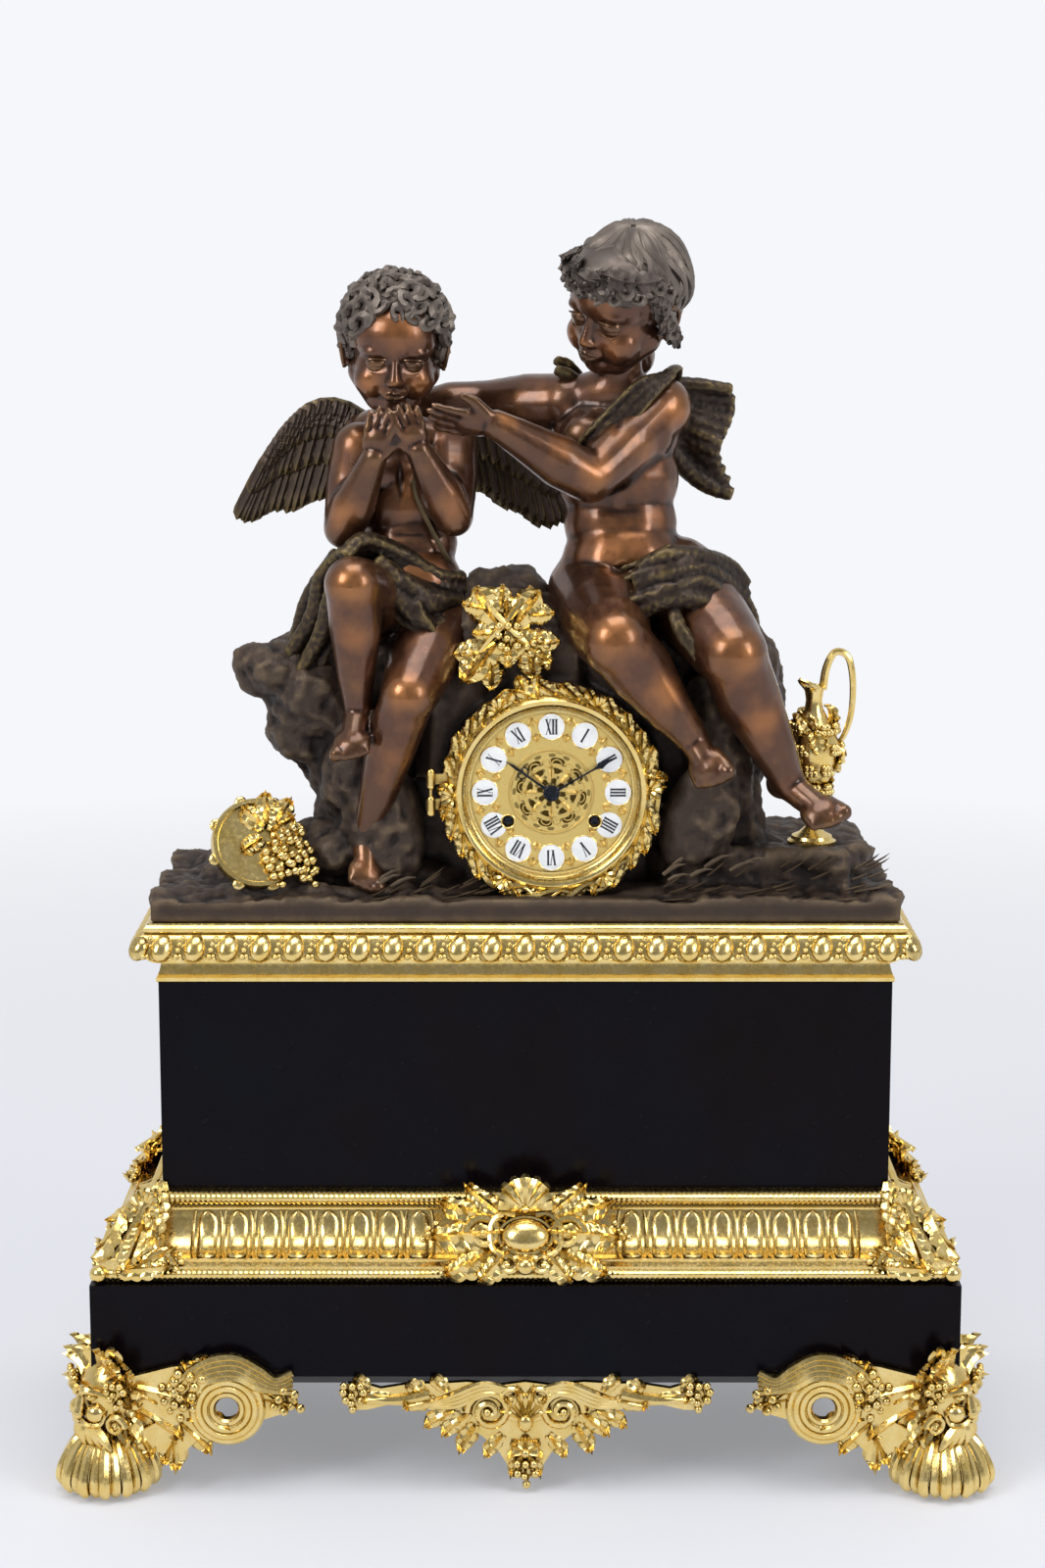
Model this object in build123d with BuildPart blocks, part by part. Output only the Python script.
"""Figural mantel clock: two bronze putti seated on a rock above a marble and gilt plinth.

The origin is the middle of the footprint on the table, +Z is up and the dial faces -Y.
All lengths are millimetres.  Left and right are the viewer's.  A name that ends in share
or shares holds parts of a named size, so a table of shares follows that size.
"""

import os
from math import cos, pi, radians, sin

from build123d import *

os.makedirs("parts", exist_ok=True)

# Plinth, from the table up
foot_clearance = 61.0
plinth_length = 504.0
plinth_depth = 220.0
plinth_height = 64.0
plinth_bevel_height = 13.5
plinth_bevel_inset = 9.0
frieze_height = 47.0
frieze_projection = 39.0
frieze_inset = 2.5
block_height = 124.0
moulding_height = 36.0
moulding_projection = 16.0

# Bronze group
putto_size = 200.0
rock_length = 420.0
rock_depth = 136.0
winged_seat_x = -64.0
winged_seat_y = -15.0
winged_seat_height = 178.6
sash_seat_x = 60.0
sash_seat_y = -5.0
sash_seat_height = 186.0

# Clock
dial_x = 15.0
dial_height = 74.0
dial_y = -60.0
dial_radius = 49.0
dial_thickness = 1.6
bezel_radius = 66.0
bezel_depth = 10.0
plate_radius = 46.0
plate_thickness = 2.0
plate_spacing = 34.0
winding_x = 25.0
winding_drop = 17.0

# Fits and cuts
running_gap = 0.3
cut_overrun = 5.0

# Levels that follow
plinth_top = foot_clearance + plinth_height
frieze_top = plinth_top + frieze_height
block_top = frieze_top + block_height
rock_bottom = block_top + moulding_height
dial_z = rock_bottom + dial_height
block_length = plinth_length - 2 * frieze_projection
block_depth = plinth_depth - 2 * frieze_projection


def oval(radius, flatness, sides, turn=0.0):
    """Corners of a many-sided oval that keeps its shape at every radius."""
    return [
        (
            radius * cos(radians(turn + 360 * side / sides)),
            radius * flatness * sin(radians(turn + 360 * side / sides)),
        )
        for side in range(sides)
    ]


def lobed(radius, lobes, depth_share, corners_per_lobe):
    """Corners of a scalloped round outline whose hollows go in by a share of the radius."""
    corners = lobes * corners_per_lobe
    outline = []
    for corner in range(corners):
        swell = sin(pi * (corner % corners_per_lobe) / corners_per_lobe)
        reach = radius * (1 - depth_share + depth_share * swell)
        angle = 2 * pi * corner / corners
        outline.append((reach * cos(angle), reach * sin(angle)))
    return outline


def gear(teeth, module, tip_share=0.85, root_share=1.0, width_share=0.68):
    """Corners of a clock wheel with pointed teeth, narrower than their gaps where they mesh."""
    tip = teeth * module / 2 + tip_share * module
    root = teeth * module / 2 - root_share * module
    outline = []
    for tooth in range(teeth):
        for reach, lean_share in ((root, -width_share), (tip, 0), (root, width_share)):
            angle = pi * (2 * tooth + lean_share) / teeth
            outline.append((reach * cos(angle), reach * sin(angle)))
    return outline


def flat_sided(rings):
    """Close a stack of matching outlines, alike in shape and in parallel planes, into one solid."""
    faces = [Face(Wire.make_polygon(ring, close=True)) for ring in (rings[0], rings[-1])]
    for lower, upper in zip(rings, rings[1:]):
        for corner in range(len(lower)):
            following = (corner + 1) % len(lower)
            side = [lower[corner], lower[following], upper[following], upper[corner]]
            faces.append(Face(Wire.make_polygon(side, close=True)))
    return Solid(Shell(faces))


def stacked_form(base, levels):
    """A flat-sided solid whose outlines of (x, y) corners lie at heights over a base plane."""
    return flat_sided(
        [[base.from_local_coords(Vector(x, y, height)) for x, y in outline] for height, outline in levels]
    )


def faceted_form(start, end, stations, flatness=0.9, sides=10, across=None):
    """Run parallel ovals from start to end: each station is a share of the way and a radius."""
    way = end - start
    base = Plane(origin=start, x_dir=across, z_dir=way)
    return stacked_form(
        base, [(way.length * way_share, oval(radius, flatness, sides)) for way_share, radius in stations]
    )


def largest(form):
    """The biggest solid of a form, without the crumbs that a cut leaves in its neighbours' pockets."""
    return form.solids().sort_by(SortBy.VOLUME)[-1]


# Lower plinth: a marble slab, bevelled all round its foot and bored for the two tie bolts
bolt_spacing = 250.0
bolt_radius = 3.0
bolt_gap = 0.5
nut_radius = 7.0
nut_height = 5.0
nut_recess = 8.0
with BuildPart() as lower_plinth:
    with BuildSketch(Plane.XY.offset(foot_clearance)):
        Rectangle(plinth_length, plinth_depth)
    extrude(amount=plinth_height)
    chamfer(
        lower_plinth.faces().sort_by(Axis.Z)[0].edges(),
        length=plinth_bevel_height,
        length2=plinth_bevel_inset,
        reference=lower_plinth.faces().sort_by(Axis.Z)[0],
    )
    with BuildSketch(Plane.XY.offset(foot_clearance)):
        with GridLocations(bolt_spacing, 0, 2, 1):
            RegularPolygon(nut_radius + bolt_gap, 10)
    extrude(amount=nut_recess, mode=Mode.SUBTRACT)
    with BuildSketch(Plane.XY.offset(foot_clearance)):
        with GridLocations(bolt_spacing, 0, 2, 1):
            RegularPolygon(bolt_radius + bolt_gap, 8)
    extrude(amount=plinth_height, mode=Mode.SUBTRACT)
lower_plinth.part.label = "lower_plinth"


# Upper block of the same marble, bored for the tie bolts
with BuildPart() as upper_block:
    with BuildSketch(Plane.XY.offset(plinth_top)):
        Rectangle(block_length, block_depth)
        with GridLocations(bolt_spacing, 0, 2, 1):
            RegularPolygon(bolt_radius + bolt_gap, 8, mode=Mode.SUBTRACT)
    extrude(amount=frieze_height + block_height)
upper_block.part.label = "upper_block"


def mitred_run(profile, run, set_back):
    """Extrude (projection, height) points along X in front of Y = -set_back and mitre both ends."""
    with BuildPart() as strip:
        with BuildSketch(Plane.YZ):
            Polygon(*[(-set_back - out, height) for out, height in profile], align=None)
        extrude(amount=run, both=True)
        for side in (-1, 1):
            mitre = Plane(origin=(side * run / 2, -set_back, 0), z_dir=(side, 1, 0))
            split(bisect_by=mitre, keep=Keep.BOTTOM)
    return strip.part


def round_member(centre_out, centre_height, radius, first_angle, last_angle, steps):
    """Points of a round member of a moulding's profile."""
    return [
        (
            centre_out + radius * cos(radians(first_angle + (last_angle - first_angle) * step / steps)),
            centre_height + radius * sin(radians(first_angle + (last_angle - first_angle) * step / steps)),
        )
        for step in range(steps + 1)
    ]


# Frieze: a ribbed rod at foot and head, a cove between them and upright tongues laid in the cove
rod_radius = 4.8
frieze_head = 7.0
cove_sill = 10.5
tongue_width = 11.0
tongue_pitch = 17.7
tongue_relief = 2.6
tongue_root = 1.0
front_tongues = 8
first_tongue_x = 62.0
end_tongues = 5
frieze_reach = frieze_projection - frieze_inset
cove_bottom = plinth_top + 2 * rod_radius + frieze_inset
cove_top = frieze_top - 2 * rod_radius
cove_out = frieze_reach - cove_sill


def cove_points(relief, first_share, last_share, steps=2):
    """The hollow of the cove from its sill to its head, raised outwards by a relief."""
    points = []
    for step in range(steps + 1):
        angle = pi / 2 * (1 - first_share - (last_share - first_share) * step / steps)
        points.append(
            (
                cove_out - (cove_out - frieze_head - relief) * cos(angle),
                cove_top - (cove_top - cove_bottom - relief) * sin(angle),
            )
        )
    return points


frieze_profile = [
    (0, plinth_top),
    (frieze_reach - rod_radius, plinth_top),
    *round_member(frieze_reach - rod_radius, plinth_top + rod_radius, rod_radius, -60, 90, 3),
    (cove_out, plinth_top + 2 * rod_radius),
    *cove_points(0, 0, 1),
    *round_member(frieze_head - rod_radius / 2, frieze_top - rod_radius, rod_radius, -75, 75, 3),
    (0, frieze_top),
]
tongue_profile = cove_points(-tongue_root, 0.12, 0.9) + cove_points(tongue_relief, 0.05, 0.95)[::-1]


def frieze_strip(run, set_back, tongue_places):
    """One mitred side of the frieze with its tongues."""
    with BuildPart() as strip:
        add(mitred_run(frieze_profile, run, set_back))
        for place in tongue_places:
            with BuildSketch(Plane.YZ.offset(place - tongue_width / 2)):
                Polygon(*[(-set_back - out, height) for out, height in tongue_profile], align=None)
            extrude(amount=tongue_width)
    return strip.part


front_places = [
    side * (first_tongue_x + tongue_pitch * number)
    for number in range(front_tongues)
    for side in (-1, 1)
]
end_places = [tongue_pitch * (number - (end_tongues - 1) / 2) for number in range(end_tongues)]
with BuildPart() as frieze_front:
    add(frieze_strip(block_length, block_depth / 2, front_places))
with BuildPart() as frieze_back:
    add(mitred_run(frieze_profile, block_length, block_depth / 2).rotate(Axis.Z, 180))
with BuildPart() as frieze_left:
    add(frieze_strip(block_depth, block_length / 2, end_places).rotate(Axis.Z, -90))
with BuildPart() as frieze_right:
    add(frieze_strip(block_depth, block_length / 2, end_places).rotate(Axis.Z, 90))
frieze_front.part.label = "frieze_front"
frieze_back.part.label = "frieze_back"
frieze_left.part.label = "frieze_left"
frieze_right.part.label = "frieze_right"


# Corner leaves: an acanthus leaf climbs each mitre of the frieze
leaf_size = 21.0
leaf_tip_out = 1.5
with BuildPart() as frieze_corner_leaves:
    for side in (-1, 1):
        for end in (-1, 1):
            foot = Vector(
                side * (plinth_length / 2 - frieze_inset - rod_radius),
                end * (plinth_depth / 2 - frieze_inset - rod_radius),
                plinth_top + rod_radius,
            )
            head = Vector(side * (block_length / 2), end * (block_depth / 2), frieze_top + rod_radius)
            outward = Vector(side, end, 0)
            add(
                faceted_form(
                    foot + outward * leaf_tip_out,
                    head + outward * leaf_tip_out,
                    [(-0.1, leaf_size * 0.35), (0.15, leaf_size), (1, leaf_size * 0.3)],
                    flatness=0.5,
                    sides=6,
                    across=Vector(-side, end, 0),
                )
            )
    for strip in (frieze_front, frieze_back, frieze_left, frieze_right, lower_plinth, upper_block):
        add(strip.part, mode=Mode.SUBTRACT)
    with BuildSketch(Plane.XY.offset(plinth_top)):
        Rectangle(plinth_length, plinth_depth)
    extrude(amount=frieze_height * 1.2, mode=Mode.INTERSECT)
frieze_corner_leaves.part.label = "frieze_corner_leaves"


# Frieze cartouche: a cabochon between two acanthus leaves under a lobed shell
cartouche_half_width = 60.0
cartouche_rise = 58.0
cartouche_lean = 27.0
cartouche_relief = 5.0
cabochon_width = 28.8
cabochon_flatness_share = 0.72
shell_radius = 18.5
shell_lobes = 7
cartouche_outline_shares = [
    (0.0, -0.02), (0.24, 0.0), (0.5, 0.06), (0.74, 0.0), (1.0, 0.12), (0.86, 0.34), (0.96, 0.52),
    (0.72, 0.6), (0.5, 0.55), (0.36, 0.74), (0.3, 0.9),
]
cartouche_plane = Plane(
    origin=(0, -plinth_depth / 2 + frieze_inset, plinth_top + rod_radius / 2),
    x_dir=(1, 0, 0),
    z_dir=(0, -cos(radians(cartouche_lean)), sin(radians(cartouche_lean))),
)
cartouche_front = cartouche_plane.offset(cartouche_relief)
with BuildPart() as cartouche_cut:
    with BuildSketch(cartouche_front):
        half = [(x * cartouche_half_width, y * cartouche_rise) for x, y in cartouche_outline_shares]
        Polygon(*half, *[(-x, y) for x, y in half[::-1]], align=None)
    extrude(amount=-frieze_projection * 0.75)
    with BuildSketch(cartouche_front.offset(cartouche_relief)):
        with Locations((0, cartouche_rise * 0.72)):
            Polygon(*lobed(shell_radius, shell_lobes, 0.16, 2), align=None)
    extrude(amount=-2 * cartouche_relief)
    cabochon_seat = cartouche_front.origin + cartouche_plane.y_dir * cartouche_rise * 0.38
    add(
        faceted_form(
            cabochon_seat - cartouche_front.z_dir * cartouche_relief,
            cabochon_seat + cartouche_front.z_dir * cartouche_relief * 1.6,
            [(0, cabochon_width / 2), (0.6, cabochon_width / 2), (1, cabochon_width * 0.25)],
            flatness=cabochon_flatness_share,
            sides=10,
            across=Vector(1, 0, 0),
        )
    )
    for side in (-1, 1):
        leaf_root = cartouche_front.origin + Vector(side, 0, 0) * cabochon_width * 0.5
        leaf_root += cartouche_plane.y_dir * cartouche_rise * 0.34
        leaf_end = cartouche_front.origin + Vector(side, 0, 0) * cartouche_half_width * 0.92
        leaf_end += cartouche_plane.y_dir * cartouche_rise * 0.22
        add(
            faceted_form(
                leaf_root,
                leaf_end,
                [(0, leaf_size * 0.3), (0.45, leaf_size * 0.62), (1, leaf_size * 0.2)],
                flatness=0.6,
                sides=6,
                across=cartouche_plane.y_dir,
            )
        )
    for neighbour in (frieze_front, upper_block, lower_plinth):
        add(neighbour.part, mode=Mode.SUBTRACT)
with BuildPart() as frieze_cartouche:
    add(largest(cartouche_cut.part))
frieze_cartouche.part.label = "frieze_cartouche"


# Top moulding: a cavetto, an egg band and a fillet, mitred into a frame round the block's top
moulding_inner = 22.0
cavetto_height = 13.0
cavetto_out = 5.0
egg_band_height = 17.0
egg_band_out = 10.0
egg_pitch = 19.0
egg_width = 14.6
front_eggs = 23
end_eggs = 8
top_fillet_out = 14.0
band_bottom = block_top + cavetto_height
band_top = band_bottom + egg_band_height
moulding_profile = [
    (-moulding_inner, block_top),
    (cavetto_out, block_top),
    (cavetto_out, block_top + cavetto_height * 0.25),
    (cavetto_out * 0.6, block_top + cavetto_height * 0.45),
    (cavetto_out * 0.9, block_top + cavetto_height * 0.7),
    (egg_band_out * 0.9, block_top + cavetto_height * 0.85),
    (egg_band_out * 1.2, band_bottom),
    (egg_band_out, band_bottom + egg_band_height * 0.1),
    (egg_band_out, band_top),
    (top_fillet_out, band_top),
    (top_fillet_out, rock_bottom - moulding_height * 0.08),
    (egg_band_out * 0.6, rock_bottom),
    (-moulding_inner, rock_bottom),
]


def egg_strip(run, set_back, eggs):
    """One mitred side of the top moulding with its row of eggs."""
    row = []
    for number in range(eggs):
        x = egg_pitch * (number - (eggs - 1) / 2)
        seat = Vector(x, -set_back - egg_band_out + tongue_root, band_bottom + egg_band_height / 2)
        crown = Vector(x, -set_back - moulding_projection, band_bottom + egg_band_height / 2)
        row.append(
            faceted_form(
                seat,
                crown,
                [(0, egg_width / 2), (1, egg_width * 0.25)],
                flatness=egg_band_height * 0.94 / egg_width,
                sides=6,
                across=Vector(1, 0, 0),
            )
        )
    with BuildPart() as strip:
        add(mitred_run(moulding_profile, run, set_back))
        add(row)
    return strip.part


with BuildPart() as top_moulding_front:
    add(egg_strip(block_length, block_depth / 2, front_eggs))
with BuildPart() as top_moulding_back:
    add(mitred_run(moulding_profile, block_length, block_depth / 2).rotate(Axis.Z, 180))
with BuildPart() as top_moulding_left:
    add(egg_strip(block_depth, block_length / 2, end_eggs).rotate(Axis.Z, -90))
with BuildPart() as top_moulding_right:
    add(egg_strip(block_depth, block_length / 2, end_eggs).rotate(Axis.Z, 90))
top_moulding_front.part.label = "top_moulding_front"
top_moulding_back.part.label = "top_moulding_back"
top_moulding_left.part.label = "top_moulding_left"
top_moulding_right.part.label = "top_moulding_right"


# Feet: a shell toe and a leafy mask at each corner, with a scroll wing along the front and a leaf
# along the end; a hidden pad carries the plinth
toe_radius = 31.0
toe_inset = 6.0
toe_height = 30.0
toe_lobes = 6
toe_shares = [(0, 1), (0.55, 0.97), (1, 0.6)]
mask_inset = 3.0
mask_radius = 27.0
mask_top = 95.0
wing_reach = 117.0
wing_depth = 12.0
wing_proud = 4.0
wing_ring_x = 77.4
wing_ring_drop = 10.0
wing_hole_radius = 6.3
side_leaf_reach = 62.0
pad_size = 48.0
pad_height = 10.0
wing_outline_shares = [
    (0.1, 0.98), (0.32, 1.21), (0.53, 1.12), (0.66, 1.18), (1.0, 1.14), (1.0, 0.82), (0.79, 0.57),
    (0.66, 0.49), (0.53, 0.56), (0.38, 0.28), (0.31, 0.36), (0.1, 0.6),
]
side_leaf_outline_shares = [
    (0.2, 0.98), (0.5, 1.18), (0.72, 1.02), (1.0, 1.05), (0.94, 0.74), (0.62, 0.66), (0.5, 0.44), (0.2, 0.5),
]


def corner_foot():
    """The front left foot."""
    corner_x = -plinth_length / 2
    corner_y = -plinth_depth / 2
    with BuildPart() as foot:
        add(
            stacked_form(
                Plane(origin=(corner_x + toe_inset, corner_y + toe_inset, 0)),
                [(toe_height * height_share, lobed(toe_radius * radius_share, toe_lobes, 0.14, 2))
                 for height_share, radius_share in toe_shares],
            )
        )
        add(
            faceted_form(
                Vector(corner_x + mask_inset, corner_y + mask_inset, toe_height * 0.8),
                Vector(corner_x + mask_inset, corner_y + mask_inset, mask_top),
                [(0, mask_radius * 0.62), (0.6, mask_radius), (1, mask_radius * 0.35)],
                flatness=1.0,
                sides=8,
            )
        )
        wing_face = Plane.XZ.offset(-corner_y + wing_proud)
        with BuildSketch(wing_face):
            Polygon(
                *[(corner_x + x * wing_reach, z * foot_clearance) for x, z in wing_outline_shares],
                align=None,
            )
            with Locations((corner_x + wing_ring_x, foot_clearance - wing_ring_drop)):
                RegularPolygon(wing_hole_radius, 8, mode=Mode.SUBTRACT)
        extrude(amount=-wing_depth)
        with BuildSketch(Plane.YZ.offset(corner_x - wing_proud)):
            Polygon(
                *[(corner_y + y * side_leaf_reach, z * foot_clearance) for y, z in side_leaf_outline_shares],
                align=None,
            )
        extrude(amount=wing_depth)
        with BuildSketch(Plane.XY.offset(foot_clearance - pad_height)):
            with Locations((corner_x + plinth_bevel_inset, corner_y + plinth_bevel_inset)):
                Rectangle(pad_size, pad_size, align=(Align.MIN, Align.MIN))
        extrude(amount=pad_height)
        add(lower_plinth.part, mode=Mode.SUBTRACT)
        add(frieze_corner_leaves.part, mode=Mode.SUBTRACT)
    return foot.part


front_left_foot_form = corner_foot()
with BuildPart() as foot_front_left:
    add(front_left_foot_form)
with BuildPart() as foot_front_right:
    add(front_left_foot_form.mirror(Plane.YZ))
with BuildPart() as foot_back_left:
    add(front_left_foot_form.mirror(Plane.XZ))
with BuildPart() as foot_back_right:
    add(front_left_foot_form.mirror(Plane.XZ).mirror(Plane.YZ))
foot_front_left.part.label = "foot_front_left"
foot_front_right.part.label = "foot_front_right"
foot_back_left.part.label = "foot_back_left"
foot_back_right.part.label = "foot_back_right"


# Front apron: a pierced-looking ribbon with volutes, a palmette and a hanging flower
apron_half_width = 110.0
apron_proud = 2.0
apron_depth = 13.0
apron_relief = 4.0
apron_outline_shares = [
    (0.0, 1.1), (0.35, 1.1), (0.47, 1.02), (0.65, 0.98), (0.84, 1.08), (0.98, 0.98), (0.95, 0.75),
    (0.84, 0.75), (0.73, 0.82), (0.6, 0.79), (0.4, 0.56), (0.22, 0.49), (0.16, 0.36), (0.18, 0.23), (0.0, 0.07),
]
apron_bosses_shares = [
    (0.17, 0.79, 0.09), (-0.17, 0.79, 0.09), (0.9, 0.89, 0.07), (-0.9, 0.89, 0.07), (0.0, 0.3, 0.13),
    (0.0, 0.72, 0.07), (0.45, 0.82, 0.07), (-0.45, 0.82, 0.07),
]
apron_face = Plane.XZ.offset(plinth_depth / 2 + apron_proud)
with BuildPart() as front_apron:
    with BuildSketch(apron_face):
        half = [(x * apron_half_width, z * foot_clearance) for x, z in apron_outline_shares]
        Polygon(*half, *[(-x, z) for x, z in half[-2:0:-1]], align=None)
    extrude(amount=-apron_depth)
    for x_share, z_share, radius_share in apron_bosses_shares:
        centre = Vector(x_share * apron_half_width, -plinth_depth / 2, z_share * foot_clearance)
        add(
            faceted_form(
                centre,
                centre + Vector(0, -apron_relief - apron_proud, 0),
                [(0, radius_share * apron_half_width), (1, radius_share * apron_half_width * 0.6)],
                flatness=1.0,
                sides=6,
            )
        )
    add(lower_plinth.part, mode=Mode.SUBTRACT)
front_apron.part.label = "front_apron"


# Rock: a hollow-looking bronze boulder group on a ground slab, bored for the clock and its pendulum
rock_outline_shares = [
    (-0.5, -0.36), (-0.41, -0.5), (-0.05, -0.45), (0.36, -0.5), (0.5, -0.26), (0.49, 0.37), (0.12, 0.5),
    (-0.36, 0.47),
]
drum_radius = plate_radius + 5.0
boulder_radius = drum_radius + 13.0
boulder_front = dial_y + 4.0
boulder_back = 58.0
slot_width = 56.0
slot_depth = 24.0
slot_floor = 6.0
recess_gap = 4.8
back_recess_gap = 15.0
bolt_depth_share = 0.6
pendulum_y = -5.0


def boulder(centre_x, centre_y, width, depth, levels, turn=1):
    """Stack one irregular outline: a level is a height over the rock's foot, a scale and shift shares."""
    return stacked_form(
        Plane(origin=(centre_x, centre_y, rock_bottom)),
        [
            (
                height,
                [
                    (
                        turn * x * width * scale_share + x_share * rock_length,
                        y * depth * scale_share + y_share * rock_length,
                    )
                    for x, y in rock_outline_shares
                ],
            )
            for height, scale_share, x_share, y_share in levels
        ],
    )


slab_height = 16.0
left_ground_height = 22.0
right_ground_height = 37.0
left_mass_top = 157.0
right_mass_top = 166.0
knoll_top = 196.0
rock_masses = [
    boulder(
        0, 0, rock_length, rock_depth,
        [(0, 1, 0, 0), (slab_height * 0.7, 1, 0, 0), (slab_height, 0.97, 0, 0)],
    ),
    boulder(
        -0.27 * rock_length, 0.06 * rock_depth, 0.4 * rock_length, 0.8 * rock_depth,
        [(slab_height * 0.5, 1, 0, 0), (left_ground_height, 0.92, 0, 0),
         (left_ground_height * 1.5, 0.6, 0.019, 0)],
        -1,
    ),
    boulder(
        0.33 * rock_length, 0.05 * rock_depth, 0.31 * rock_length, 0.86 * rock_depth,
        [(slab_height * 0.5, 1, 0, 0), (right_ground_height * 0.9, 1, 0, 0),
         (right_ground_height, 0.95, 0, 0)],
    ),
    boulder(
        -0.18 * rock_length, 0.1 * rock_depth, 0.3 * rock_length, 0.72 * rock_depth,
        [(slab_height * 0.5, 0.9, 0.029, 0), (left_mass_top * 0.42, 0.88, 0.014, 0),
         (left_mass_top * 0.62, 1.05, -0.014, 0), (left_mass_top * 0.95, 1.1, -0.029, 0.007),
         (left_mass_top, 1.0, -0.024, 0.007)],
    ),
    boulder(
        0.2 * rock_length, 0.12 * rock_depth, 0.27 * rock_length, 0.72 * rock_depth,
        [(slab_height * 0.5, 1.05, 0.019, 0), (right_mass_top * 0.6, 0.92, -0.005, 0),
         (right_mass_top * 0.95, 1.0, 0.01, 0.007), (right_mass_top, 0.9, 0.01, 0.007)],
        -1,
    ),
    boulder(
        -0.02 * rock_length, 0, 0.3 * rock_length, 0.84 * rock_depth,
        [(knoll_top * 0.4, 0.9, 0, 0.01), (knoll_top * 0.78, 0.85, 0, 0),
         (knoll_top * 0.93, 0.5, -0.01, -0.014), (knoll_top, 0.25, -0.01, -0.01)],
    ),
]
clock_front = Plane(origin=(dial_x, boulder_front, dial_z), x_dir=(1, 0, 0), z_dir=(0, -1, 0))
with BuildPart() as rock_base:
    add(rock_masses)
    with BuildSketch(clock_front):
        RegularPolygon(boulder_radius, 14)
    extrude(amount=boulder_front - boulder_back)
    with BuildSketch(Plane.XY.offset(rock_bottom)):
        Rectangle(rock_length, rock_depth)
    extrude(amount=knoll_top * 1.2, mode=Mode.INTERSECT)
    with BuildSketch(clock_front):
        RegularPolygon(bezel_radius + recess_gap, 24, major_radius=False)
    extrude(amount=-boulder_front, mode=Mode.SUBTRACT)
    with BuildSketch(clock_front):
        RegularPolygon(drum_radius, 24, major_radius=False)
    extrude(amount=-rock_depth, mode=Mode.SUBTRACT)
    with BuildSketch(clock_front.offset(boulder_front - boulder_back)):
        RegularPolygon(drum_radius + back_recess_gap, 16, major_radius=False)
    extrude(amount=-rock_depth, mode=Mode.SUBTRACT)
    with BuildSketch(Plane.XY.offset(rock_bottom + slot_floor)):
        with Locations((dial_x, pendulum_y)):
            Rectangle(slot_width, slot_depth)
    extrude(amount=dial_height - slot_floor, mode=Mode.SUBTRACT)
    with BuildSketch(Plane.XY.offset(rock_bottom)):
        with GridLocations(bolt_spacing, 0, 2, 1):
            RegularPolygon(bolt_radius + bolt_gap, 8)
    extrude(amount=slab_height * bolt_depth_share, mode=Mode.SUBTRACT)
rock_base.part.label = "rock_base"


# Bronze figures: every joint is a share of the putto's size from the seat, every limb a list of
# (share of the way, radius share) stations between two joints
winged_seat = Vector(winged_seat_x, winged_seat_y, rock_bottom + winged_seat_height)
sash_seat = Vector(sash_seat_x, sash_seat_y, rock_bottom + sash_seat_height)
winged_joint_shares = {
    "pelvis": (-0.01, 0.0, -0.08),
    "waist": (-0.014, 0.0, 0.158),
    "chest": (-0.042, 0.015, 0.36),
    "neck": (-0.054, 0.01, 0.5),
    "skull": (-0.056, -0.03, 0.6),
    "left_shoulder": (-0.165, 0.015, 0.455),
    "right_shoulder": (0.105, 0.015, 0.47),
    "left_elbow": (-0.208, -0.1, 0.226),
    "right_elbow": (0.11, -0.115, 0.26),
    "left_wrist": (-0.108, -0.195, 0.445),
    "right_wrist": (0.014, -0.195, 0.465),
    "left_fingers": (-0.086, -0.225, 0.565),
    "right_fingers": (-0.022, -0.225, 0.575),
    "left_hip": (-0.095, 0.0, -0.02),
    "right_hip": (0.07, -0.02, -0.05),
    "left_knee": (-0.17, -0.285, 0.085),
    "right_knee": (-0.015, -0.275, -0.235),
    "left_ankle": (-0.163, -0.22, -0.27),
    "right_ankle": (-0.143, -0.165, -0.65),
    "left_toes": (-0.182, -0.335, -0.37),
    "right_toes": (-0.13, -0.26, -0.775),
}
sash_joint_shares = {
    "pelvis": (0.0, 0.0, -0.08),
    "waist": (-0.025, -0.015, 0.175),
    "chest": (-0.03, -0.015, 0.432),
    "neck": (-0.036, -0.02, 0.59),
    "skull": (-0.012, -0.04, 0.7),
    "left_shoulder": (-0.18, 0.05, 0.545),
    "right_shoulder": (0.085, -0.01, 0.53),
    "left_elbow": (-0.43, 0.165, 0.53),
    "right_elbow": (-0.126, -0.2, 0.333),
    "left_wrist": (-0.69, 0.155, 0.51),
    "right_wrist": (-0.385, -0.285, 0.5),
    "left_fingers": (-0.83, 0.05, 0.5),
    "right_fingers": (-0.56, -0.29, 0.515),
    "left_hip": (-0.1, -0.04, -0.01),
    "right_hip": (0.14, -0.035, 0.02),
    "left_knee": (-0.044, -0.35, -0.113),
    "right_knee": (0.29, -0.325, -0.153),
    "left_ankle": (0.166, -0.315, -0.381),
    "right_ankle": (0.458, -0.235, -0.53),
    "left_toes": (0.218, -0.4, -0.48),
    "right_toes": (0.57, -0.365, -0.6),
}
limb_station_shares = {
    ("pelvis", "neck"): [(0, 0.12), (0.08, 0.16), (0.2, 0.172), (0.42, 0.145), (0.84, 0.15), (0.94, 0.1),
                         (1.0, 0.06)],
    ("neck", "skull"): [(-0.4, 0.062), (1, 0.056)],
}
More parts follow.
